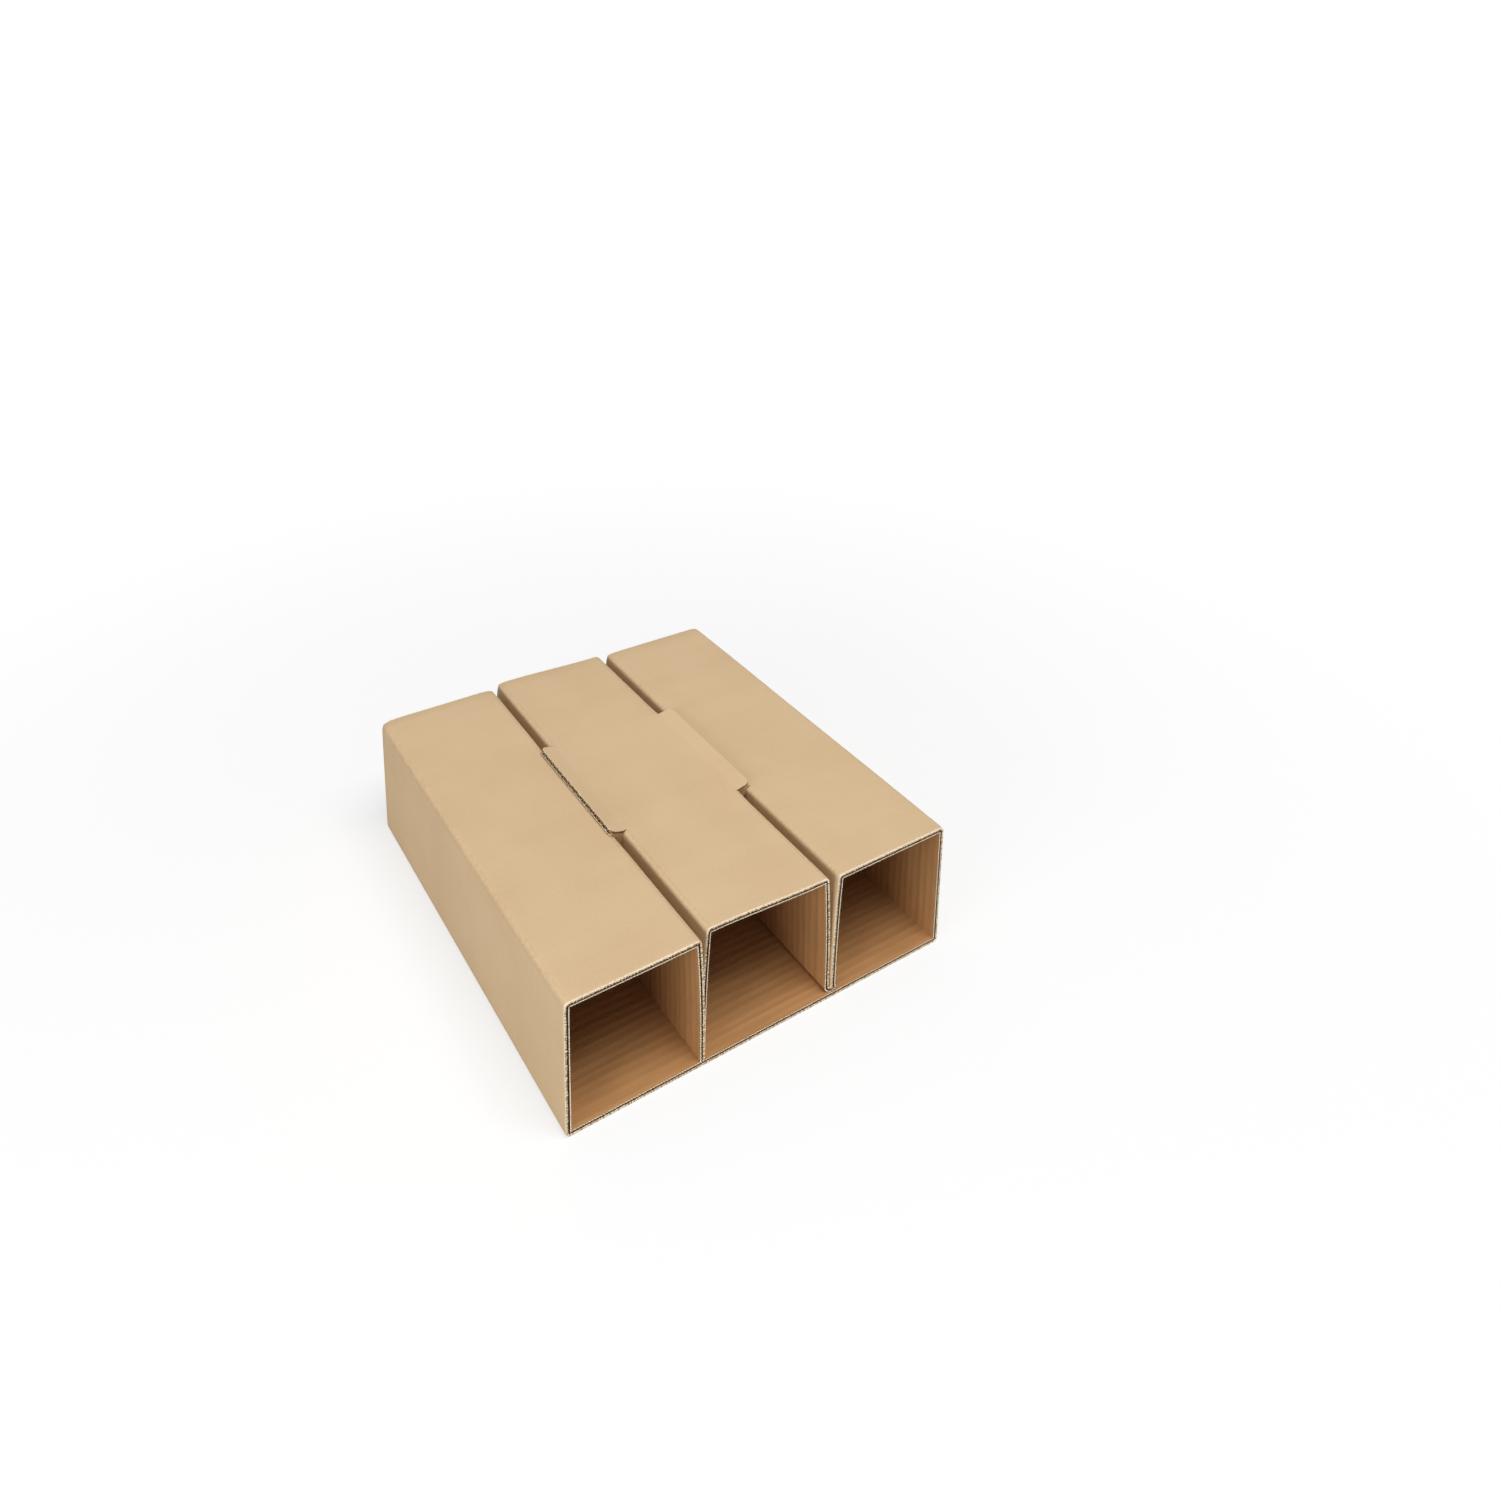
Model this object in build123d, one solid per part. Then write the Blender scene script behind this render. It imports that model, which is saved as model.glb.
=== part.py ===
"""Three-bottle shipping box: one die-cut sheet of corrugated board, folded to and fro into three tubes."""
import os

from build123d import *

# Sheet of board: two liners with a fluted core between them
board = 4.0
liner = 0.45
core = 0.4
flute_pitch = 7.5
bend_inner = 0.4

# Tubes, measured outside the board
length = 382.0
tube_width = 106.0
tube_height = 107.0
gap_top = 7.5
gap_low = 1.5
middle_set_back = 6.5

# Wings that the middle tube's top keeps on both sides, with open flute ends along their free edges
wing_length = 132.0
wing_lap = 3.5
wing_bend = 16.0
wing_corner = 5.0
wing_slit = 0.6
flute_depth = 6.0
flute_wide_share = 0.38
flute_narrow_share = 0.04

# Slots in the base, and the tongues and the loop that lock in them
slot_length = 87.0
slot_corner = 2.0
slot_clearance = 0.5
notch_radius = 8.0
notch_spacing = 42.0
tongue_length = 72.0
tongue_recess = 0.6
loop_slack = 4.0
loop_bend_share = 0.9

clearance = 0.3
overrun = 5.0

# Places that follow from the sizes above
half_board = board / 2
void = board - 2 * liner
end_depth = flute_pitch / 2
bend = bend_inner + half_board
fold_reach = bend_inner + board
width = 3 * tube_width + 2 * gap_top
divider = (tube_width + gap_top) / 2
outer_near = -(length + middle_set_back) / 2
outer_centre = outer_near + length / 2
middle_near = outer_near + middle_set_back
middle_centre = middle_near + length / 2
top_line = tube_height - half_board
foot = board + clearance
loop_line = foot + half_board
loop_bend = loop_bend_share * (gap_low + board) / 2
pair_width = gap_low + 2 * board
wing_root = divider - gap_top / 2 - fold_reach
wing_tip = divider + gap_top / 2 + wing_lap
wing_rise = board + clearance


def wall_x(side, level):
    """Centre line of a leaning divider board at a level, measured from the divider's middle plane."""
    top = gap_top / 2 + half_board
    low = gap_low / 2 + half_board
    climb = (level - foot) / (top_line - foot)
    return side * (low + (top - low) * climb)


def ribbon(points, radii, near, run, thickness=board):
    """Board that follows a folded line in the XZ plane, run out from its near edge towards the far end."""
    line = FilletPolyline(*points, radius=radii) if radii else Polyline(*points)
    section = Plane.XZ.offset(-near) * trace(line, line_width=thickness)
    return extrude(section, -run)


def open_ended(points, radii, near, run):
    """Ribbon whose two cut ends show both liners and, between them, the edge of the fluted core."""
    sheet = ribbon(points, radii, near, run)
    for edge in (near, near + run - end_depth):
        sheet -= ribbon(points, radii, edge, end_depth, void)
        sheet += ribbon(points, radii, edge, end_depth, core)
    return sheet


def block(x_limits, y_limits, z_limits):
    """Straight block between three pairs of limits."""
    limits = (x_limits, y_limits, z_limits)
    centre = [(low + high) / 2 for low, high in limits]
    size = [abs(high - low) for low, high in limits]
    return Pos(*centre) * Box(*size)


def outer_run():
    """Tube 1 from its right wall's foot, the base under all three tubes, tube 3, and half of the loop."""
    points = [
        (-divider + wall_x(-1, foot), foot),
        (-divider + wall_x(-1, top_line), top_line),
        (-width / 2 + half_board, top_line),
        (-width / 2 + half_board, half_board),
        (width / 2 - half_board, half_board),
        (width / 2 - half_board, top_line),
        (divider + wall_x(1, top_line), top_line),
        (divider + wall_x(1, loop_line), loop_line),
        (divider, loop_line),
    ]
    folds = len(points) - 3
    return open_ended(points, [bend] * folds + [loop_bend], outer_near, length)


def middle_run():
    """The loop's other half, then tube 2's right wall, top and left wall, all a little further back."""
    points = [
        (divider, loop_line),
        (divider + wall_x(-1, loop_line), loop_line),
        (divider + wall_x(-1, top_line), top_line),
        (-divider + wall_x(1, top_line), top_line),
        (-divider + wall_x(1, foot), foot),
    ]
    return open_ended(points, [loop_bend, bend, bend], middle_near, length)


def wing_window(side):
    """Fold and upper wall that a wing is cut out of, with a slit at each end."""
    half_zone = wing_length / 2 + wing_slit
    return block(
        (side * wing_root, side * divider),
        (middle_centre - half_zone, middle_centre + half_zone),
        (tube_height - (wing_tip - wing_root), tube_height + overrun),
    )


def wing(side):
    """Strip of tube 2's top that stays flat past the fold and laps the next tube's shoulder."""
    start = wing_root - wing_corner
    points = [
        (side * start, top_line),
        (side * wing_root, top_line),
        (side * wing_tip, top_line + wing_rise),
    ]
    strip = ribbon(points, [wing_bend], middle_centre - wing_length / 2, wing_length)
    outline = RectangleRounded(wing_tip - start, wing_length, wing_corner)
    outline = Pos(side * (start + wing_tip) / 2, middle_centre) * outline
    return strip & extrude(outline, tube_height + 2 * board)


def flute_ends(side):
    """Open ends of the flutes along a wing's free edge, above and below the wavy core in turn."""
    outward = Vector(side * (wing_tip - wing_root), 0, wing_rise)
    tip = (side * wing_tip, middle_centre, top_line + wing_rise)
    wide = flute_wide_share * flute_pitch
    narrow = flute_narrow_share * flute_pitch
    half_void = void / 2
    corners = [(-wide, half_void), (wide, half_void), (narrow, -half_void), (-narrow, -half_void)]
    upper = make_face(Polyline(*corners, close=True))
    count = int((wing_length - 2 * wing_corner) / flute_pitch)
    section = Sketch() + GridLocations(flute_pitch, 0, count, 1) * upper
    section += GridLocations(flute_pitch, 0, count - 1, 1) * (Rot(0, 0, 180) * upper)
    return extrude(Plane(origin=tip, x_dir=(0, side, 0), z_dir=outward) * section, flute_depth, both=True)


def base_slot(side, slot_width):
    """Slot under a divider, with two half-round notches towards the outer tube."""
    slot = Pos(side * divider, outer_centre) * RectangleRounded(slot_width, slot_length, slot_corner)
    for end in (-1, 1):
        place = Pos(side * (divider + slot_width / 2), outer_centre + end * notch_spacing / 2)
        slot += place * Circle(notch_radius)
    return extrude(Pos(0, 0, -clearance) * slot, board + 2 * clearance)


def tongue(side, centre):
    """Tab below the foot of a divider board, which drops into the first slot."""
    levels = (foot + overrun, tongue_recess)
    points = [(-divider + wall_x(side, level), level) for level in levels]
    return ribbon(points, None, centre - tongue_length / 2, tongue_length)


def loop_window():
    """Stretch of the loop that is cut free so that it can sink into the second slot."""
    half_pair = pair_width / 2 + clearance
    half_zone = tongue_length / 2 + wing_slit
    return block(
        (divider - half_pair, divider + half_pair),
        (outer_centre - half_zone, outer_centre + half_zone),
        (foot - clearance / 2, foot + fold_reach),
    )


def sunk_loop():
    """The freed stretch of the loop, pushed down into the slot to lock the second divider."""
    high = foot + fold_reach + overrun
    low = tongue_recess + half_board
    points = [
        (divider + wall_x(1, high), high),
        (divider + wall_x(1, low), low),
        (divider + wall_x(-1, low), low),
        (divider + wall_x(-1, high), high),
    ]
    return ribbon(points, [loop_bend, loop_bend], outer_centre - tongue_length / 2, tongue_length)


def folded_board():
    """The whole sheet, folded and locked."""
    sheet = outer_run() + middle_run()
    for side in (-1, 1):
        sheet -= wing_window(side)
        sheet += wing(side) - flute_ends(side)
    sheet -= base_slot(-1, pair_width + 2 * slot_clearance)
    sheet -= base_slot(1, pair_width + 2 * slot_clearance + loop_slack)
    sheet += tongue(-1, outer_centre)
    sheet += tongue(1, middle_centre)
    return sheet - loop_window() + sunk_loop()


os.makedirs("parts", exist_ok=True)
export_step(folded_board(), "parts/folded_board.step")
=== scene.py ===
import math
import random

import bpy
from mathutils import Matrix, Vector, noise


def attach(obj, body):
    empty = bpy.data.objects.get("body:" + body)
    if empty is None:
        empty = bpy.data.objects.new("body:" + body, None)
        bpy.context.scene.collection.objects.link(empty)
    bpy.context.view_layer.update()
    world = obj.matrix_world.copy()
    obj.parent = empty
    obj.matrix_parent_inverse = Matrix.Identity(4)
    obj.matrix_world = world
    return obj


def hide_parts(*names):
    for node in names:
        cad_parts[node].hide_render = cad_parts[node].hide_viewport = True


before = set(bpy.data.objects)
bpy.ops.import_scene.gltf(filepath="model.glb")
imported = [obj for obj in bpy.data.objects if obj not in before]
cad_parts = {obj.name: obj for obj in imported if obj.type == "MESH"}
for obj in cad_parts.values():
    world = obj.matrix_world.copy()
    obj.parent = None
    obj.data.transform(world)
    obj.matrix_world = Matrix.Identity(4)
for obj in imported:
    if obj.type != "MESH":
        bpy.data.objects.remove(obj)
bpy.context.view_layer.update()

# The sheet. One blank of single-wall corrugated board with C flutes, cut and creased by a steel-rule die,
# then folded to and fro: tube 1, the base under all tubes, tube 3, a loop, and tube 2 between the others.
# It is worked flat first, with s across the folds and y along the tubes, and folded at the end.
mm = 0.001
board = 4.0 * mm
liner = 0.45 * mm
half_board = board / 2
length = 382.0 * mm
tube_width = 106.0 * mm
tube_height = 107.0 * mm
gap_top = 7.5 * mm
gap_low = 1.5 * mm
middle_set_back = 6.5 * mm
middle_rack = 4.5 * mm
pressed_gap = 0.3 * mm
press_curve = 2.2
width = 3 * tube_width + 2 * gap_top
divider = (tube_width + gap_top) / 2
near_end = -(length + middle_set_back) / 2
top_line = tube_height - half_board
clearance = 0.3 * mm
foot = board + clearance
tongue_level = 0.6 * mm
loop_line = foot + half_board
loop_bend_share = 0.9
loop_bend = loop_bend_share * (gap_low + board) / 2
fold_bends = [1.0 * mm, 2.0 * mm] + [1.2 * mm] * 4 + [loop_bend] * 2 + [1.0 * mm, 1.4 * mm]
wing_length = 132.0 * mm
wing_reach = 14.8 * mm
wing_corner = 5.0 * mm
wing_bend = 30.0 * mm
wing_slopes = {-1: 0.28, 1: 0.21}
wing_draw = 0.9 * mm
draw_length = 35.0 * mm
draw_fade = 18.0 * mm
fold_fade = 10.0 * mm
shoulder_press = 0.9 * mm
shoulder_breadth = 22.0 * mm
shoulder_fade = 25.0 * mm
wing_limits = (length / 2 - wing_length / 2, length / 2 + wing_length / 2)
tongue_length = 72.0 * mm
tongue_limits = (length / 2 - tongue_length / 2, length / 2 + tongue_length / 2)
slit = 0.6 * mm
loop_zone = 9.0 * mm
loop_sink = loop_line - tongue_level - half_board
slot_length = 87.0 * mm
slot_widths = {-1: 10.5 * mm, 1: 14.5 * mm}
slot_corner = 2.0 * mm
notch_radius = 8.0 * mm
notch_spacing = 42.0 * mm

# Handling of the folded board: pinched cut ends, bowed panels and crushed far corners.
near_pinch = 0.08
near_pinch_depth = 3.0 * mm
far_pinch = 0.26
far_pinch_depth = 5.0 * mm
bow = 0.35 * mm
bow_lumps = (9.0, 7.0)
bow_seed = 0.3
bow_fade = 20.0 * mm
crushed_folds = {"fold_1l": 0.7, "fold_2l": 0.3, "fold_3l": 0.4, "fold_1r": 0.4, "fold_3r": 0.2}
crush_offset = 1.0 * mm
crush_breadth = 4.0 * mm
crush_depth = 9.0 * mm
crush_down = 1.4 * mm
crush_in = 1.8 * mm


def divider_x(side, level):
    """Centre line of a leaning divider board at a level, measured from the divider's middle plane."""
    top = gap_top / 2 + half_board
    low = gap_low / 2 + half_board
    return side * (low + (top - low) * (level - foot) / (top_line - foot))


def creased_runs(corners, radii):
    """Straight and bent runs of the folded line: start, length, first point, heading and curvature."""
    runs = []
    place = Vector(corners[0])
    start = 0.0
    for index in range(1, len(corners)):
        ahead = Vector(corners[index]) - place
        heading = math.atan2(ahead.y, ahead.x)
        after = Vector(corners[index + 1]) - Vector(corners[index]) if index + 1 < len(corners) else ahead
        turn = math.atan2(ahead.x * after.y - ahead.y * after.x, ahead.dot(after))
        cut_back = radii[index - 1] * math.tan(abs(turn) / 2) if index + 1 < len(corners) else 0.0
        straight = ahead.length - cut_back
        runs.append((start, straight, place, heading, 0.0))
        start += straight
        place = place + ahead.normalized() * straight
        if cut_back:
            bent = radii[index - 1] * abs(turn)
            runs.append((start, bent, place, heading, turn / bent))
            start += bent
            place = Vector(corners[index]) + after.normalized() * cut_back
    return runs


corners = [
    (-divider + divider_x(-1, tongue_level), tongue_level),
    (-divider + divider_x(-1, top_line), top_line),
    (-width / 2 + half_board, top_line),
    (-width / 2 + half_board, half_board),
    (width / 2 - half_board, half_board),
    (width / 2 - half_board, top_line),
    (divider + divider_x(1, top_line), top_line),
    (divider + divider_x(1, loop_line), loop_line),
    (divider + divider_x(-1, loop_line), loop_line),
    (divider + divider_x(-1, top_line), top_line),
    (-divider + divider_x(1, top_line), top_line),
    (-divider + divider_x(1, tongue_level), tongue_level),
]
runs = creased_runs(corners, fold_bends)
names = ["wall_1r", "fold_1r", "top_1", "fold_1l", "wall_left", "fold_low_l", "base", "fold_low_r",
         "wall_right", "fold_3r", "top_3", "fold_3l", "wall_3l", "loop_a", "loop", "loop_b", "wall_2r",
         "fold_2r", "top_2", "fold_2l", "wall_2l"]
starts = {name: run[0] for name, run in zip(names, runs)}
sheet_length = runs[-1][0] + runs[-1][1]
tongue_depth = foot - tongue_level
left_root = starts["fold_2l"]
right_root = starts["top_2"]
loop_start = starts["loop_a"] - loop_zone
loop_end = starts["wall_2r"] + loop_zone


def ease(value):
    """Smooth step from 0 to 1."""
    held = min(max(value, 0.0), 1.0)
    return held * held * (3 - 2 * held)


def mitre(bent, t):
    """How far short of a fold's edge a layer stops that lies deeper inside the fold than its centre."""
    _, run, _, _, curve = bent
    if curve <= 0:
        return 0.0
    return max(0.0, -t - 1 / curve) * math.tan(curve * run / 2)


def on_line(s, t=0.0):
    """Point and heading of the folded line at a distance s from the first tongue's tip, at level t."""
    index = next((i for i, run in enumerate(runs) if s <= run[0] + run[1]), len(runs) - 1)
    start, run, place, heading, curve = runs[index]
    step = s - start
    if curve > 0 and -t > 1 / curve:
        index -= 1
        start, run, place, heading, curve = runs[index]
        step = run
    if not curve:
        first = mitre(runs[index - 1], t) if index else 0.0
        last = mitre(runs[index + 1], t) if index + 1 < len(runs) else 0.0
        step = min(max(step, first), run - last)
        return place.x + step * math.cos(heading), place.y + step * math.sin(heading), heading
    turned = heading + curve * step
    x = place.x + (math.sin(turned) - math.sin(heading)) / curve
    z = place.y - (math.cos(turned) - math.cos(heading)) / curve
    return x, z, turned


def on_wing(reach, last_slope):
    """Run out, rise and slope of a wing at a distance past its root: a slow bend, then straight on."""
    root_slope = 2 * wing_draw / draw_length
    slope = min(root_slope + reach / wing_bend, last_slope)
    rest = reach - wing_bend * (slope - root_slope)
    out = wing_bend * (math.sin(slope) - math.sin(root_slope)) + rest * math.cos(slope)
    rise = wing_draw + wing_bend * (math.cos(root_slope) - math.cos(slope)) + rest * math.sin(slope)
    return out, rise, slope


def strained(s, y):
    """Height that the wings give: tube 2's top is drawn up to them, the next shoulders are pressed down."""
    past = max(wing_limits[0] - y, y - wing_limits[1], 0.0)
    drawn = wing_draw * ease(1 - past / draw_fade)
    if right_root < s < left_root:
        return drawn * max(0.0, 1 - min(left_root - s, s - right_root) / draw_length) ** 2
    if s > starts["loop_b"]:
        return drawn * ease(1 - max(s - left_root, right_root - s) / fold_fade)
    past = max(wing_limits[0] + middle_set_back - y, y - wing_limits[1] - middle_set_back, 0.0)
    away = min(abs(s - starts["top_1"]), abs(s - starts["fold_3l"]))
    return -shoulder_press * ease(1 - away / shoulder_breadth) * ease(1 - past / shoulder_fade)


def pressed(s, level):
    """Sideways push on a divider board, which bows to its partner below the fold that holds them apart."""
    climb = min(max((level - foot) / (top_line - foot), 0.0), 1.0)
    loose = gap_low + (gap_top - gap_low) * climb
    tight = pressed_gap + (gap_top - pressed_gap) * climb ** press_curve
    push = max(0.0, loose - tight) / 2
    if s < starts["fold_1r"] or starts["loop_b"] < s < starts["fold_2r"]:
        return push
    if s > starts["wall_2l"] or starts["wall_3l"] < s < starts["loop_a"]:
        return -push
    return 0.0


def handled(s, y, t):
    """Board after cutting and handling: pinched cut ends, slightly bowed panels, crushed far corners."""
    from_far = length - y
    pinch = near_pinch * ease(1 - y / near_pinch_depth) + far_pinch * ease(1 - from_far / far_pinch_depth)
    t = -half_board + (t + half_board) * (1 - pinch)
    off_base = max(starts["fold_low_l"] - s, s - starts["wall_right"])
    lumps = noise.noise(Vector((s * bow_lumps[0], y * bow_lumps[1], bow_seed)))
    t += bow * lumps * ease(off_base / bow_fade)
    for fold, strength in crushed_folds.items():
        away = (s - starts[fold] - crush_offset) / crush_breadth
        crush = strength * math.exp(-away * away) * ease(1 - from_far / crush_depth)
        t -= crush_down * crush
        y -= crush_in * crush
    return s, y, t


def folded(s, y, t):
    """Place in the finished box of a point of the flat blank, t being its level in the board's thickness."""
    s, y, t = handled(s, y, t)
    looped = ease((s - starts["loop_a"]) / (starts["wall_2r"] - starts["loop_a"]))
    racked = ease((left_root - s) / (left_root - right_root))
    set_back = (middle_set_back - middle_rack * racked) * looped
    across = near_end + y + set_back
    in_wing = wing_limits[0] - slit / 2 < y < wing_limits[1] + slit / 2
    for root, side in ((left_root, -1), (right_root, 1)):
        reach = (root - s) * side
        if in_wing and 0 < reach < wing_reach + slit / 2:
            root_x, root_z, _ = on_line(root)
            out, rise, slope = on_wing(reach, wing_slopes[side])
            return root_x + side * (out - t * math.sin(slope)), across, root_z + rise + t * math.cos(slope)
    x, z, heading = on_line(s, t)
    if tongue_limits[0] - slit / 2 < y < tongue_limits[1] + slit / 2 and loop_start < s < loop_end:
        z -= loop_sink * ease(min(s - loop_start, loop_end - s) / loop_zone)
    x += pressed(s, z)
    return x + t * math.sin(heading), across, z - t * math.cos(heading) + strained(s, y)


# The outer liner. Smooth pale kraft paper on the flutes' outer tips, which show through it as faint lines,
# darkened further with painted shade.
# It is the face of every top, side and gap wall and of the underside. Its cut edges are pale, torn fibre.
# Like the two other papers it is ruled and cut while flat, glued to the flutes, then folded with them.
fold_shoulder = 3.0 * mm
least_step = 0.05 * mm
corner_room = 2.0 * mm
near_enough = 0.01 * mm
burst_depth = 1.3 * mm
weld = 0.015 * mm
smooth_angle = math.radians(32)
tooth_least = 0.15
tooth_rise = 0.6
tooth_scatter = 0.25
cloud_roughness = 0.6
cloud_skew = 0.7
punch_height = 20.0 * mm
notch_punch_height = 18.0 * mm


def lines_between(keys, spacing):
    """Ruled lines through all the key places, with others between them about a spacing apart."""
    lines = []
    for low, high in zip(keys, keys[1:]):
        count = max(1, round((high - low) / spacing))
        lines += [low + (high - low) * step / count for step in range(count)]
    return lines + [keys[-1]]


def s_lines(spacing, bends):
    """Lines across the blank: each fold's bends and shoulders, and the ends of tongues, wings and loop."""
    left_tip = left_root + wing_reach
    right_tip = right_root - wing_reach
    keys = {0.0, tongue_depth, sheet_length - tongue_depth, sheet_length, loop_start, loop_end}
    keys |= {left_tip, left_tip + slit, right_tip, right_tip - slit}
    for start, run, _, _, curve in runs:
        count = bends if curve else 1
        keys |= {start + run * step / count for step in range(count + 1)}
        if curve > 0:
            keys |= {start - fold_shoulder, start + run + fold_shoulder}
    ordered = sorted(keys)
    kept = [ordered[0]] + [high for low, high in zip(ordered, ordered[1:]) if high - low > least_step]
    corner = wing_corner + corner_room
    clear = ((left_tip - corner, left_tip), (right_tip, right_tip + corner))
    kept = [key for key in kept if not any(low < key < high for low, high in clear)]
    return lines_between(kept, spacing)


def cut_away(s, y):
    """Whether the die takes the board out at a place: strips beside tongues, slits of wings and loop."""
    beside_tongue = not tongue_limits[0] < y < tongue_limits[1]
    if beside_tongue and not tongue_depth < s < sheet_length - tongue_depth:
        return True
    wing_sides = wing_limits[0] - slit < y < wing_limits[0] or wing_limits[1] < y < wing_limits[1] + slit
    in_window = wing_limits[0] - slit < y < wing_limits[1] + slit
    for reach in (s - left_root, right_root - s):
        if wing_sides and 0 < reach < wing_reach + slit:
            return True
        if in_window and wing_reach < reach < wing_reach + slit:
            return True
    before_loop = tongue_limits[0] - slit < y < tongue_limits[0]
    after_loop = tongue_limits[1] < y < tongue_limits[1] + slit
    return (before_loop or after_loop) and loop_start < s < loop_end


def pick(mesh, kind, chosen):
    """Go into edit mode with only the chosen vertices, edges or faces of a mesh selected."""
    bpy.ops.object.mode_set(mode="EDIT")
    bpy.ops.mesh.select_mode(type=kind)
    bpy.ops.mesh.select_all(action="DESELECT")
    bpy.ops.object.mode_set(mode="OBJECT")
    parts = {"VERT": mesh.vertices, "EDGE": mesh.edges, "FACE": mesh.polygons}[kind]
    for part in parts:
        part.select = chosen(part)
    bpy.ops.object.mode_set(mode="EDIT")


def ruled_blank(name, across, along):
    """Flat sheet with lines ruled at the given places, and everything that the die takes out removed."""
    bpy.ops.object.select_all(action="DESELECT")
    bpy.ops.mesh.primitive_grid_add(x_subdivisions=len(across) - 1, y_subdivisions=len(along) - 1, size=1)
    sheet = bpy.context.object
    sheet.name = name
    mesh = sheet.data
    for vertex in mesh.vertices:
        column = round((vertex.co.x + 0.5) * (len(across) - 1))
        row = round((vertex.co.y + 0.5) * (len(along) - 1))
        vertex.co = (across[column], along[row], 0.0)
    pick(mesh, "FACE", lambda face: cut_away(face.center.x, face.center.y))
    bpy.ops.mesh.delete(type="FACE")
    bpy.ops.object.mode_set(mode="OBJECT")
    return sheet


def round_wings(sheet):
    """Round the two free corners of each wing."""
    mesh = sheet.data
    tips = (left_root + wing_reach, right_root - wing_reach)

    def is_corner(vertex):
        at_tip = min(abs(vertex.co.x - tip) for tip in tips) < near_enough
        return at_tip and min(abs(vertex.co.y - limit) for limit in wing_limits) < near_enough

    pick(mesh, "VERT", is_corner)
    bpy.ops.mesh.bevel(offset=wing_corner, segments=6, affect="VERTICES")
    bpy.ops.object.mode_set(mode="OBJECT")


def saw_teeth(sheet, depth, pitch, seed):
    """Cut both ends with the die's toothed blade, which leaves a fine ragged line."""
    mesh = sheet.data
    scatter = random.Random(seed)

    def on_end(vertex):
        return vertex.co.y < near_enough or vertex.co.y > length - near_enough

    def cuts(edge):
        first, second = (mesh.vertices[i] for i in edge.vertices)
        if not (on_end(first) and on_end(second)):
            return 0
        return int((first.co - second.co).length / (pitch / 2))

    for count in sorted({cuts(edge) for edge in mesh.edges} - {0}):
        pick(mesh, "EDGE", lambda edge: cuts(edge) == count)
        bpy.ops.mesh.subdivide(number_cuts=count, ngon=True)
        bpy.ops.object.mode_set(mode="OBJECT")
    ends = sorted((v for v in mesh.vertices if on_end(v)), key=lambda v: (v.co.y > length / 2, v.co.x))
    for index, vertex in enumerate(ends):
        bite = depth * (tooth_least + tooth_rise * (index % 2) + tooth_scatter * scatter.random())
        vertex.co.y += bite if vertex.co.y < length / 2 else -bite


def apply_all(sheet):
    """Apply every modifier of a sheet in turn."""
    bpy.ops.object.select_all(action="DESELECT")
    sheet.select_set(True)
    bpy.context.view_layer.objects.active = sheet
    for modifier in list(sheet.modifiers):
        bpy.ops.object.modifier_apply(modifier=modifier.name)


def punch_slots(sheet):
    """Punch the two slots in the base, each with two half-round notches towards the outer tube."""
    base_s = starts["base"] - on_line(starts["base"])[0]
    for side, slot_width in slot_widths.items():
        bpy.ops.mesh.primitive_cube_add(size=1, location=(base_s + side * divider, length / 2, 0))
        punch = bpy.context.object
        punch.scale = (slot_width, slot_length, punch_height)
        bpy.ops.object.transform_apply(location=True, rotation=False, scale=True)
        pick(punch.data, "EDGE", lambda edge: abs(punch.data.vertices[edge.vertices[0]].co.z
                                                  - punch.data.vertices[edge.vertices[1]].co.z) > mm)
        bpy.ops.mesh.bevel(offset=slot_corner, segments=4, affect="EDGES")
        bpy.ops.object.mode_set(mode="OBJECT")
        punches = [punch]
        for end in (-1, 1):
            notch_s = base_s + side * (divider + slot_width / 2)
            place = (notch_s, length / 2 + end * notch_spacing / 2, 0)
            bpy.ops.mesh.primitive_cylinder_add(
                vertices=40, radius=notch_radius, depth=notch_punch_height, location=place)
            punches.append(bpy.context.object)
        for tool in punches:
            cut = sheet.modifiers.new("punch", "BOOLEAN")
            cut.object = tool
            cut.operation = "DIFFERENCE"
        apply_all(sheet)
        for tool in punches:
            bpy.data.objects.remove(tool)


def swell_ends(sheet, swell, held_level):
    """Thicken a paper at its cut ends, where the blade burst its fibres, away from a level that is held."""
    for vertex in sheet.data.vertices:
        edge = min(vertex.co.y, length - vertex.co.y)
        held = held_level(vertex.co.y)
        vertex.co.z = held + (vertex.co.z - held) * (1 + swell * ease(1 - edge / burst_depth))


def fold_up(sheet):
    """Note each point's place on the flat blank and the folds it lies in, then fold the sheet up."""
    mesh = sheet.data
    flat = mesh.uv_layers.new(name="flat")
    for loop in mesh.loops:
        flat.data[loop.index].uv = mesh.vertices[loop.vertex_index].co.xy
    crease = mesh.attributes.new("crease", "FLOAT", "POINT")
    bent = [(start, start + run) for start, run, _, _, curve in runs if curve > 0]
    for vertex in mesh.vertices:
        s, y, _ = vertex.co
        in_wing = s > starts["loop_b"] and wing_limits[0] - slit < y < wing_limits[1] + slit
        crease.data[vertex.index].value = float(not in_wing and any(low < s < high for low, high in bent))
        vertex.co = folded(*vertex.co)
    bpy.ops.object.select_all(action="DESELECT")
    sheet.select_set(True)
    bpy.context.view_layer.objects.active = sheet
    bpy.ops.object.mode_set(mode="EDIT")
    bpy.ops.mesh.select_all(action="SELECT")
    bpy.ops.mesh.remove_doubles(threshold=weld)
    bpy.ops.mesh.normals_make_consistent(inside=False)
    bpy.ops.object.mode_set(mode="OBJECT")
    bpy.ops.object.shade_smooth_by_angle(angle=smooth_angle)


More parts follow.
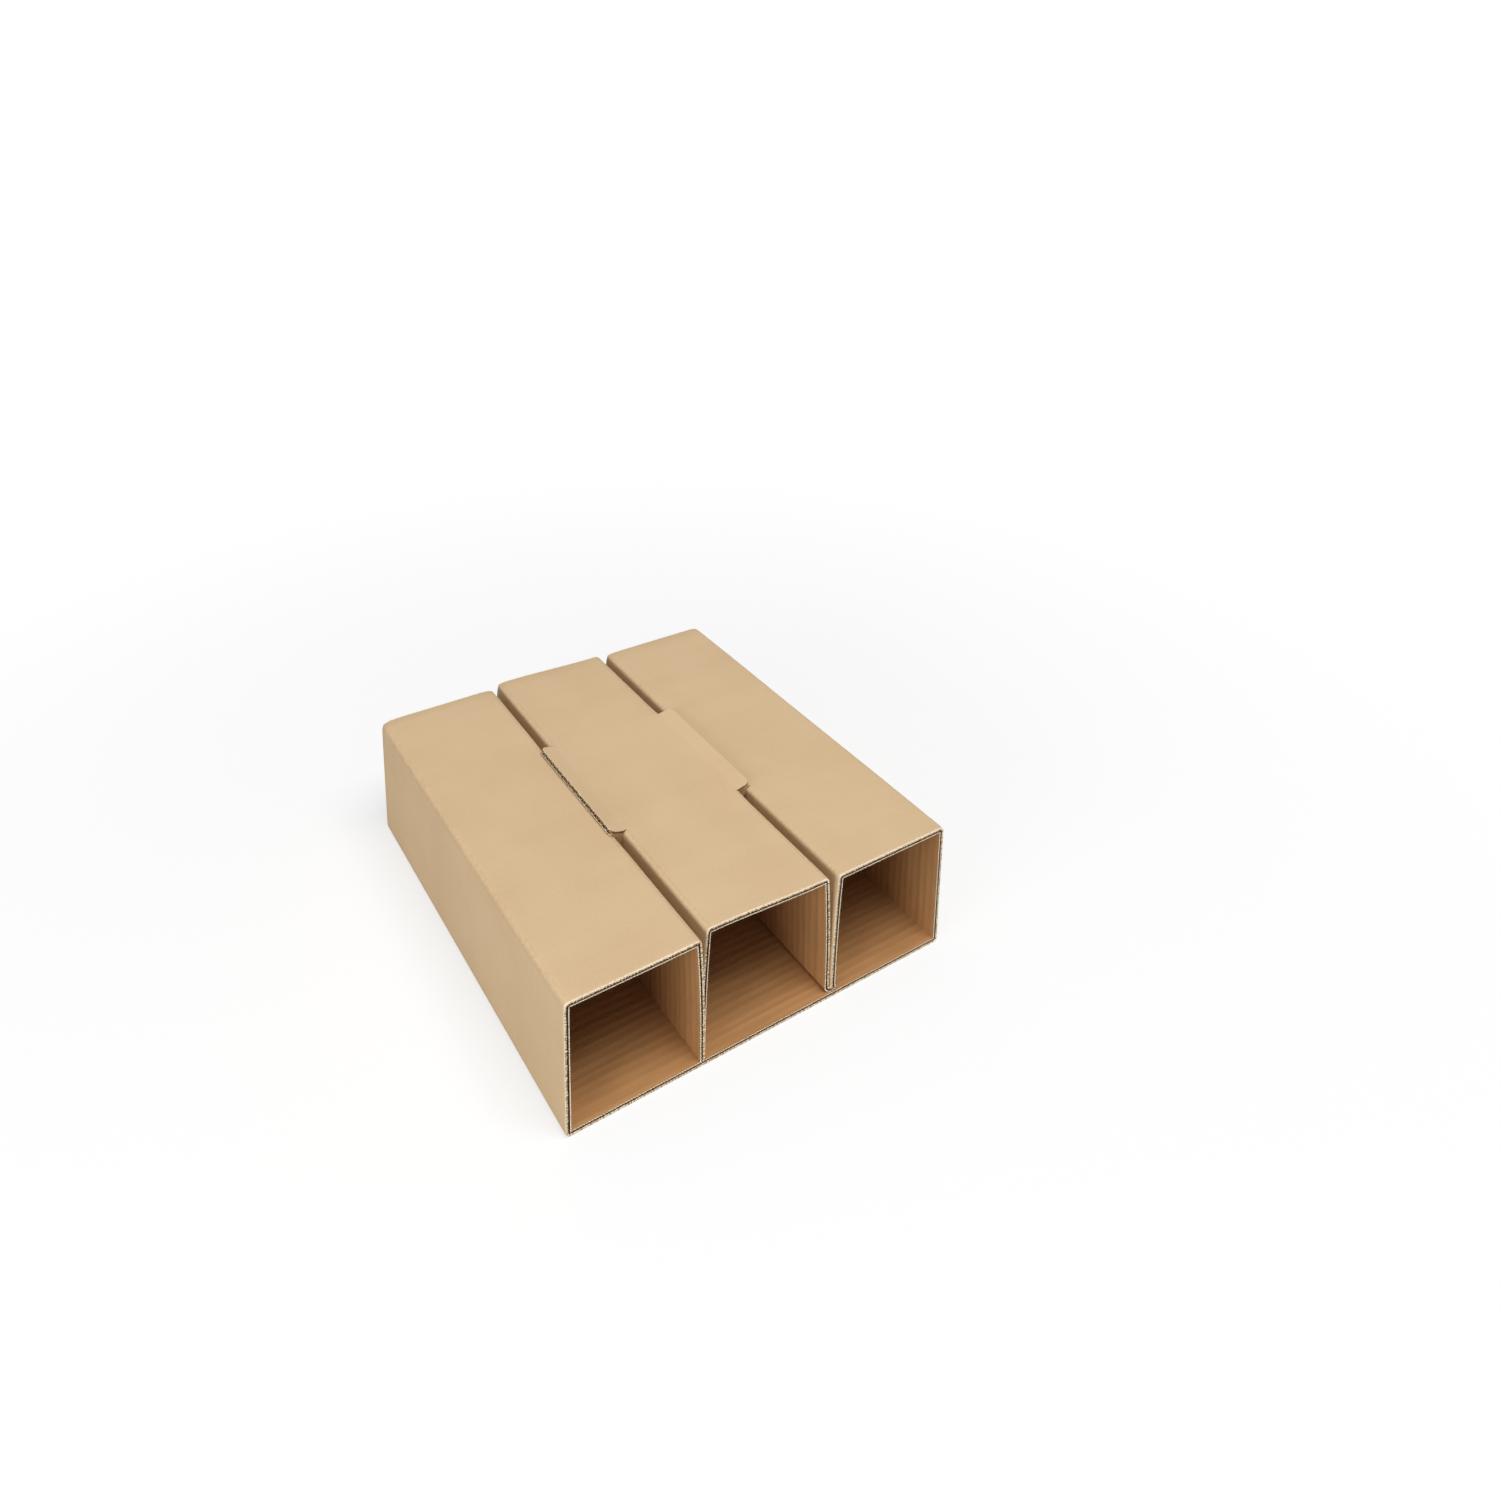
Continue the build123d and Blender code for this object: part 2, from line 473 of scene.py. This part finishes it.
def press_flat(sheet, middle, thickness, back):
    """Give a flat paper its thickness about a level in the board, and finishes for cut faces and back."""
    for vertex in sheet.data.vertices:
        vertex.co.z += middle
    paper = sheet.modifiers.new("paper", "SOLIDIFY")
    paper.thickness = thickness
    paper.offset = 0.0
    paper.material_offset_rim = 1
    paper.material_offset = back


class Wire:
    """One socket of a finish's nodes. Arithmetic on it adds Math nodes."""

    def __init__(self, tree, socket):
        self.tree = tree
        self.socket = socket

    def node(self, kind, settings, values, output=0):
        """Add a node, set it up, then fill or link its sockets, and give one of its outputs."""
        made = self.tree.nodes.new(kind)
        for name, value in settings.items():
            setattr(made, name, value)
        for key, value in values.items():
            if isinstance(value, Wire):
                self.tree.links.new(value.socket, made.inputs[key])
            else:
                made.inputs[key].default_value = value
        return Wire(self.tree, made.outputs[output])

    def maths(self, operation, *terms):
        return self.node("ShaderNodeMath", {"operation": operation}, dict(enumerate(terms)))

    def __add__(self, other):
        return self.maths("ADD", self, other)

    __radd__ = __add__

    def __sub__(self, other):
        return self.maths("SUBTRACT", self, other)

    def __rsub__(self, other):
        return self.maths("SUBTRACT", other, self)

    def __mul__(self, other):
        return self.maths("MULTIPLY", self, other)

    __rmul__ = __mul__

    def wave(self, pitch, shift):
        """Cosine of this value, a length in metres, with a pitch and a shift in radians."""
        turns = self * (2 * math.pi / pitch) + shift
        return turns.maths("COSINE", turns)

    def between(self, low, high):
        """0 below low, 1 above high, smooth between them."""
        values = {"Value": self, "From Min": low, "From Max": high}
        return self.node("ShaderNodeMapRange", {"interpolation_type": "SMOOTHSTEP"}, values)

    def mix(self, first, second):
        """First colour where this value is 0, second where it is 1."""
        share, low, high, mixed = 0, 6, 7, 2
        values = {share: self, low: first, high: second}
        return self.node("ShaderNodeMix", {"data_type": "RGBA"}, values, mixed)


def finish(name, roughness, gloss):
    """New finish with one shader, and the flat blank's map to read patterns from."""
    material = bpy.data.materials.new(name)
    material.use_nodes = True
    shader = material.node_tree.nodes["Principled BSDF"]
    shader.inputs["Roughness"].default_value = roughness
    shader.inputs["Specular IOR Level"].default_value = gloss
    start = Wire(material.node_tree, shader.outputs[0])
    flat = start.node("ShaderNodeUVMap", {"uv_map": "flat"}, {})
    return material, shader, flat


def shade(shader, colour, height, distance):
    """Link a colour, and a height in metres as fine relief, to a finish's shader."""
    links = colour.tree.links
    links.new(colour.socket, shader.inputs["Base Color"])
    relief = colour.node("ShaderNodeBump", {}, {"Strength": 1.0, "Distance": distance, "Height": height})
    links.new(relief.socket, shader.inputs["Normal"])


def cloud(flat, across, along, detail, seed):
    """Uneven tone on the flat blank, from its lumps per metre across and along the tubes."""
    shift = (seed, seed * cloud_skew, 0.0)
    stretched = flat.node("ShaderNodeMapping", {},
                          {"Vector": flat, "Location": shift, "Scale": (across, along, 1.0)})
    return flat.node("ShaderNodeTexNoise", {"noise_dimensions": "2D"},
                     {"Vector": stretched, "Scale": 1.0, "Detail": detail, "Roughness": cloud_roughness})


flute_pitch = 7.5 * mm
kraft = (0.680, 0.492, 0.290, 1)
kraft_shade = (0.655, 0.468, 0.270, 1)
kraft_light = (0.735, 0.560, 0.365, 1)
# Dark brown for the paper's real fibre specks, and for the painted shade along the folds and flute lines.
dark_fibre_and_shade = (0.30, 0.19, 0.10, 1)
cut_pale = (0.97, 0.83, 0.61, 1)
cut_brown = (0.46, 0.28, 0.13, 1)
mottle_share = 0.22
speck_share = 0.15
flute_line_and_shade_share = 0.010
band_shade_share = 0.030
fold_shade_share = 0.16
fold_shade_mottle_loss = 0.10
worn_share = 0.9
fine_relief = 0.03
mottle_relief = 0.04
ripple_relief = 0.012
band_relief = 0.16

outer_finish, outer_shader, flat = finish("outer_kraft", roughness=0.78, gloss=0.35)
along = flat.node("ShaderNodeSeparateXYZ", {}, {0: flat}, 1)
slow = cloud(flat, across=14, along=11, detail=2.0, seed=1.3)
mottle = cloud(flat, across=520, along=330, detail=4.0, seed=4.1)
fine = cloud(flat, across=2600, along=1500, detail=3.0, seed=7.7)
drift = cloud(flat, across=5, along=12, detail=1.0, seed=5.4) * 2.0
ripple = along.wave(flute_pitch, drift)
bands = cloud(flat, across=2.2, along=46, detail=2.0, seed=9.2).between(0.30, 0.72)
tone = slow.between(0.30, 0.70).mix(kraft_shade, kraft)
tone = (mottle.between(0.35, 0.75) * mottle_share).mix(tone, kraft_light)
tone = ((1 - fine.between(0.28, 0.40)) * speck_share).mix(tone, dark_fibre_and_shade)
# Partly painted shade: faint dark lines over the flute tips, which also really show through the paper, and
# darker soft washboard bands, which are painted shade beside their relief.
tone = ((0.5 + 0.5 * ripple) * flute_line_and_shade_share + bands * band_shade_share).mix(tone, dark_fibre_and_shade)
# Painted shade: the liner is darkened along the bends of its folds, less where it is mottled, to tone down
# how bright the rounded folds light up.
crease = flat.node("ShaderNodeAttribute", {"attribute_name": "crease"}, {}, "Fac")
painted_fold_shade = crease.between(0.2, 1.0) * (fold_shade_share - fold_shade_mottle_loss * mottle.between(0.40, 0.60))
tone = painted_fold_shade.mix(tone, dark_fibre_and_shade)
edge = along.maths("MINIMUM", along, length - along)
worn = (1 - edge.between(0.6 * mm, 1.9 * mm)) * mottle.between(0.25, 0.50)
tone = (worn * worn_share).mix(tone, cut_pale)
height = fine * fine_relief + mottle * mottle_relief + ripple * ripple_relief + bands * band_relief
shade(outer_shader, tone, height, distance=0.35 * mm)

cut_finish, cut_shader, flat = finish("cut_paper", roughness=0.9, gloss=0.2)
torn = cloud(flat, across=620, along=620, detail=2.0, seed=2.4)
shade(cut_shader, torn.between(0.40, 0.54).mix(cut_brown, cut_pale), torn, distance=0.3 * mm)

core_brown = (0.42, 0.265, 0.135, 1)
core_dark = (0.29, 0.17, 0.08, 1)
core_finish, core_shader, flat = finish("core_paper", roughness=0.88, gloss=0.2)
tone = cloud(flat, across=300, along=300, detail=3.0, seed=5.5).between(0.3, 0.7).mix(core_dark, core_brown)
shade(core_shader, tone, cloud(flat, across=1500, along=1500, detail=2.0, seed=3.1), distance=0.2 * mm)

end_keys = [0.0, burst_depth, 2.6 * mm, 4.2 * mm]
rows = end_keys + [length - key for key in reversed(end_keys)]
rows += [limit + step for limit, step in zip(wing_limits, (-slit, slit))] + list(wing_limits)
rows += [limit + step for limit, step in zip(tongue_limits, (-slit, slit))] + list(tongue_limits)
y_lines = lines_between(sorted(rows), spacing=10 * mm)
outer_liner = ruled_blank("outer_liner", s_lines(spacing=12 * mm, bends=7), y_lines)
outer_liner.data.materials.append(outer_finish)
outer_liner.data.materials.append(cut_finish)
outer_liner.data.materials.append(core_finish)
round_wings(outer_liner)
saw_teeth(outer_liner, depth=0.45 * mm, pitch=2.0 * mm, seed=3)
press_flat(outer_liner, middle=half_board - liner / 2, thickness=liner, back=2)
punch_slots(outer_liner)
swell_ends(outer_liner, swell=1.0, held_level=lambda y: half_board)
fold_up(outer_liner)
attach(outer_liner, "root")
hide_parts("folded_board")

# The fluted core. Thin brown paper pressed into waves that run round the tubes, so the cut ends show it as a
# torn line beside the outer liner and the wings' free edges show its waves. Its tips touch both liners.
core_paper = 0.28 * mm
wave_height = (board - 2 * liner - core_paper) / 2
torn_depth = 0.75 * mm
torn_lift = (0.06, 0.25)


def wave_level(y):
    """Level of the waved paper's middle at a distance along the tubes."""
    return wave_height * math.sin(2 * math.pi * y / flute_pitch)


def trim_wings(sheet):
    """Draw the waved paper's wing tips back to the rounded corners of the liners."""
    for tip, side in ((left_root + wing_reach, 1), (right_root - wing_reach, -1)):
        for vertex in sheet.data.vertices:
            inside = min(vertex.co.y - wing_limits[0], wing_limits[1] - vertex.co.y)
            if abs(vertex.co.x - tip) < near_enough and 0 <= inside < wing_corner:
                chord = math.sqrt(wing_corner ** 2 - (wing_corner - inside) ** 2)
                vertex.co.x -= side * (wing_corner - chord)


flute_steps = 8
flute_count = int(length / flute_pitch * flute_steps)
flute_rows = [flute_pitch / flute_steps * step for step in range(flute_count + 1)]
core = ruled_blank("fluted_core", s_lines(spacing=60 * mm, bends=4), flute_rows + [length])
core.data.materials.append(core_finish)
core.data.materials.append(cut_finish)
trim_wings(core)
scatter = random.Random(11)
saw_teeth(core, depth=0.7 * mm, pitch=2.4 * mm, seed=5)
for vertex in core.data.vertices:
    at_end = min(vertex.co.y, length - vertex.co.y) < torn_depth
    vertex.co.z = wave_level(vertex.co.y) + at_end * scatter.uniform(*torn_lift) * mm
press_flat(core, middle=0.0, thickness=core_paper, back=0)
punch_slots(core)
swell_ends(core, swell=2.0, held_level=wave_level)
fold_up(core)
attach(core, "root")
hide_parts("folded_board")

# The inner liner. Browner recycled paper on the flutes' inner tips, drawn down between them as the glue
# dried, so the inside of every tube is ribbed like a washboard. Its cut edge is the ends' brightest line.
inner_kraft = (0.51, 0.267, 0.105, 1)
inner_shade = (0.45, 0.227, 0.086, 1)
glue_line = (0.37, 0.175, 0.062, 1)
cut_white = (1.00, 0.90, 0.72, 1)
rib_share = 0.14
rib_streak_share = 0.34
streak_share = 0.25
inner_speck_share = 0.20
rib_relief = 0.18
streak_relief = 0.20
inner_finish, inner_shader, flat = finish("inner_kraft", roughness=0.82, gloss=0.3)
along = flat.node("ShaderNodeSeparateXYZ", {}, {0: flat}, 1)
drift = cloud(flat, across=6, along=34, detail=2.0, seed=2.2) * 4.0
ripple = along.wave(flute_pitch, drift)
slow = cloud(flat, across=12, along=30, detail=2.0, seed=6.3)
streak = cloud(flat, across=4, along=190, detail=2.0, seed=8.8)
fine = cloud(flat, across=2200, along=1500, detail=3.0, seed=1.9)
tone = slow.between(0.3, 0.7).mix(inner_shade, inner_kraft)
ribbed = ripple.between(-0.2, 1.0) * (rib_share + rib_streak_share * streak.between(0.35, 0.70))
tone = ribbed.mix(tone, glue_line)
tone = (streak.between(0.45, 0.75) * streak_share).mix(tone, glue_line)
tone = ((1 - fine.between(0.28, 0.42)) * inner_speck_share).mix(tone, dark_fibre_and_shade)
height = ripple * rib_relief + streak * streak_relief + fine * fine_relief
shade(inner_shader, tone, height, distance=0.6 * mm)

bright_finish, bright_shader, flat = finish("bright_cut_paper", roughness=0.9, gloss=0.2)
torn = cloud(flat, across=620, along=620, detail=2.0, seed=6.8)
shade(bright_shader, torn.between(0.30, 0.46).mix(cut_brown, cut_white), torn, distance=0.3 * mm)

inner_liner = ruled_blank("inner_liner", s_lines(spacing=12 * mm, bends=7), y_lines)
inner_liner.data.materials.append(core_finish)
inner_liner.data.materials.append(bright_finish)
inner_liner.data.materials.append(inner_finish)
round_wings(inner_liner)
saw_teeth(inner_liner, depth=0.75 * mm, pitch=2.2 * mm, seed=8)
press_flat(inner_liner, middle=liner / 2 - half_board, thickness=liner, back=2)
punch_slots(inner_liner)
swell_ends(inner_liner, swell=1.0, held_level=lambda y: -half_board)
fold_up(inner_liner)
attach(inner_liner, "root")
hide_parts("folded_board")

# The studio. A wide white table that fades to a white surround, with a large soft lamp high in front, a low
# weaker one on the left, and room light that is strongest overhead and weakest from behind the box.
floor_radius = 14.0
floor_drop = 0.2 * mm
table_bounce = (0.48, 0.48, 0.48, 1)
table_white = (0.97, 0.97, 0.97, 1)
table_roughness = 0.9
table_gloss = 0.1
glow_share = 0.66
glow_rise = (0.25, 1.0)
covered_inset = 8.0 * mm
covered_blur = 2.0 * mm
room_light = 0.32
overhead_gain = 0.14
behind_loss = 0.14
lamp_aim = (0, 0, 0.05)
bpy.ops.object.select_all(action="DESELECT")
bpy.ops.mesh.primitive_circle_add(
    vertices=96, radius=floor_radius, fill_type="NGON", location=(0, 0, -floor_drop))
floor = bpy.context.object
floor.name = "studio_floor"
table = bpy.data.materials.new("white_table")
table.use_nodes = True
shader = table.node_tree.nodes["Principled BSDF"]
shader.inputs["Roughness"].default_value = table_roughness
shader.inputs["Specular IOR Level"].default_value = table_gloss
plain = Wire(table.node_tree, shader.outputs[0])
camera_ray = plain.node("ShaderNodeLightPath", {}, {}, "Is Camera Ray")
white = camera_ray.mix(table_bounce, table_white)
table.node_tree.links.new(white.socket, shader.inputs["Base Color"])
place = plain.node("ShaderNodeTexCoord", {}, {}, "Object")
distance = plain.node("ShaderNodeVectorMath", {"operation": "LENGTH"}, {0: place}, "Value")
glow = plain.node("ShaderNodeEmission", {}, {"Color": (1, 1, 1, 1), "Strength": 1.0})
across = plain.node("ShaderNodeSeparateXYZ", {}, {0: place}, "X")
along = plain.node("ShaderNodeSeparateXYZ", {}, {0: place}, "Y")
side_edge = width / 2 - covered_inset
end_edge = length / 2 - covered_inset
beside = plain.maths("ABSOLUTE", across).between(side_edge, side_edge + covered_blur)
beyond = plain.maths("ABSOLUTE", along).between(end_edge, end_edge + covered_blur)
open_floor = plain.maths("MAXIMUM", beside, beyond)
fade = (glow_share + (1 - glow_share) * distance.between(*glow_rise)) * camera_ray * open_floor
mixed = plain.node("ShaderNodeMixShader", {}, {0: fade, 1: plain, 2: glow})
table.node_tree.links.new(mixed.socket, table.node_tree.nodes["Material Output"].inputs["Surface"])
floor.data.materials.append(table)

world = bpy.data.worlds.new("studio")
world.use_nodes = True
bpy.context.scene.world = world
background = world.node_tree.nodes["Background"]
sky = Wire(world.node_tree, background.outputs[0])
camera_ray = sky.node("ShaderNodeLightPath", {}, {}, "Is Camera Ray")
glossy_ray = sky.node("ShaderNodeLightPath", {}, {}, "Is Glossy Ray")
passed_ray = sky.node("ShaderNodeLightPath", {}, {}, "Is Transmission Ray")
seen = sky.maths("MAXIMUM", sky.maths("MAXIMUM", camera_ray, glossy_ray), passed_ray)
direction = sky.node("ShaderNodeTexCoord", {}, {}, "Generated")
overhead = sky.node("ShaderNodeSeparateXYZ", {}, {0: direction}, "Z")
behind = sky.node("ShaderNodeSeparateXYZ", {}, {0: direction}, "Y")
room = room_light + overhead_gain * overhead.between(0.2, 1.0) - behind_loss * behind.between(-0.6, 0.6)
level = room + (1 - room) * seen
background.inputs["Color"].default_value = (1, 1, 1, 1)
world.node_tree.links.new(level.socket, background.inputs["Strength"])


def soft_lamp(name, place, breadth, height, power):
    """Large lamp that faces the box."""
    bpy.ops.object.light_add(type="AREA", location=place)
    lamp = bpy.context.object
    lamp.name = name
    lamp.data.shape = "RECTANGLE"
    lamp.data.size = breadth
    lamp.data.size_y = height
    lamp.data.energy = power
    lamp.rotation_euler = (Vector(lamp_aim) - Vector(place)).to_track_quat("-Z", "Y").to_euler()


soft_lamp("overhead_lamp", place=(0.3, -1.1, 2.8), breadth=1.6, height=1.6, power=55)
soft_lamp("left_lamp", place=(-1.9, -0.7, 0.55), breadth=1.2, height=0.8, power=19)

# The camera. It looks down into the mouths from the front left, fitted to the corners of the box in the
# photograph, with its lens lowered to keep uprights upright.
camera_place = (-0.44622, -0.80496, 0.73857)
azimuth = math.radians(34.133)
elevation = math.radians(13.373)
roll = math.radians(1.231)
lens_length = 29.173
sensor_width = 36
lens_shift = -0.3
bpy.ops.object.camera_add(location=camera_place)
camera = bpy.context.object
turned = Matrix.Rotation(-azimuth, 3, "Z") @ Matrix.Rotation(math.pi / 2 - elevation, 3, "X")
camera.rotation_euler = (turned @ Matrix.Rotation(roll, 3, "Z")).to_euler()
camera.data.lens = lens_length
camera.data.sensor_width = sensor_width
camera.data.shift_y = lens_shift
bpy.context.scene.camera = camera
bpy.context.scene.view_settings.view_transform = "Standard"
